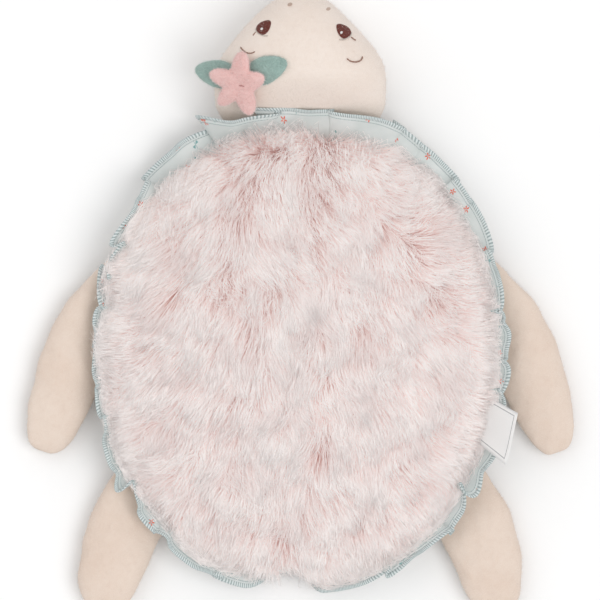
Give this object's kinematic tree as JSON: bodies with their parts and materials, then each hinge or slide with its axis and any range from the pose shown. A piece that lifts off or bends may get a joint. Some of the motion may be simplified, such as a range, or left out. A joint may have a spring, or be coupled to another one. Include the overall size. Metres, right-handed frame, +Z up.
{
  "type": "plush turtle",
  "caption": "Soft stuffed turtle with a long-pile shell, a gathered cloth ruffle round it, floppy velour head and flippers, and a small padded flower beside its face.",
  "frame": {"origin": "middle of the belly panel's flat underside, on the floor that the toy lies on", "axes": "+Z up out of the shell, +Y along the body towards the head, +X to the right of a viewer who looks down at the shell with the head at the top"},
  "size_m": [0.3008, 0.3405, 0.0619],
  "materials": {
    "long_pile_pink": "matte",
    "velour_peach": "matte",
    "cotton_mint": "matte",
    "overlock_grey_blue": "matte",
    "filling_white": "matte",
    "velour_pink": "matte",
    "velour_sage": "matte",
    "thread_brown": "satin",
    "thread_white": "satin",
    "thread_beige": "satin",
    "thread_rose": "satin",
    "ribbon_white": "matte"
  },
  "bodies": {
    "body": {"shell_fur_panel": "long_pile_pink", "belly_panel": "velour_peach", "body_filling": "filling_white", "ruffle": "cotton_mint", "ruffle_overlock_edge": "overlock_grey_blue", "label": "ribbon_white"},
    "head": {"head_upper_panel": "velour_peach", "head_lower_panel": "velour_peach", "head_filling": "filling_white", "flower_front": "velour_pink", "flower_back": "velour_pink", "flower_filling": "filling_white", "flower_stitch_upper": "thread_rose", "flower_stitch_lower": "thread_rose", "leaf_left": "velour_sage", "leaf_right": "velour_sage", "eye_left": "thread_brown", "eye_right": "thread_brown", "eye_glint_left": "thread_white", "eye_glint_right": "thread_white", "lash_left": "thread_brown", "lash_right": "thread_brown", "brow_left": "thread_brown", "brow_right": "thread_brown", "nostril_left": "thread_beige", "nostril_right": "thread_beige"},
    "front_left_flipper": {"front_left_flipper_upper_panel": "velour_peach", "front_left_flipper_lower_panel": "velour_peach", "front_left_flipper_filling": "filling_white"},
    "front_right_flipper": {"front_right_flipper_upper_panel": "velour_peach", "front_right_flipper_lower_panel": "velour_peach", "front_right_flipper_filling": "filling_white"},
    "rear_left_flipper": {"rear_left_flipper_upper_panel": "velour_peach", "rear_left_flipper_lower_panel": "velour_peach", "rear_left_flipper_filling": "filling_white"},
    "rear_right_flipper": {"rear_right_flipper_upper_panel": "velour_peach", "rear_right_flipper_lower_panel": "velour_peach", "rear_right_flipper_filling": "filling_white"}
  },
  "joints": [
    {"name": "neck_nod", "type": "hinge", "parent": "body", "child": "head", "pos_m": [0, 0.1137, 0.01335], "axis": [1, 0, 0], "range_deg": [-30, 20], "deforming": ["ruffle", "ruffle_overlock_edge"]},
    {"name": "front_left_flap", "type": "hinge", "parent": "body", "child": "front_left_flipper", "pos_m": [-0.09286, 0.04356, 0.01335], "axis": [0.2555, 0.9668, 0], "range_deg": [-50, 45], "deforming": ["ruffle", "ruffle_overlock_edge"]},
    {"name": "front_right_flap", "type": "hinge", "parent": "body", "child": "front_right_flipper", "pos_m": [0.09286, 0.04356, 0.01335], "axis": [0.2555, -0.9668, 0], "range_deg": [-50, 45], "deforming": ["ruffle", "ruffle_overlock_edge", "label"]},
    {"name": "rear_left_flap", "type": "hinge", "parent": "body", "child": "rear_left_flipper", "pos_m": [-0.08039, -0.073, 0.01335], "axis": [-0.5286, 0.8488, 0], "range_deg": [-50, 45], "deforming": ["ruffle", "ruffle_overlock_edge"]},
    {"name": "rear_right_flap", "type": "hinge", "parent": "body", "child": "rear_right_flipper", "pos_m": [0.08039, -0.073, 0.01335], "axis": [-0.5286, -0.8488, 0], "range_deg": [-50, 45], "deforming": ["ruffle", "ruffle_overlock_edge"]}
  ]
}
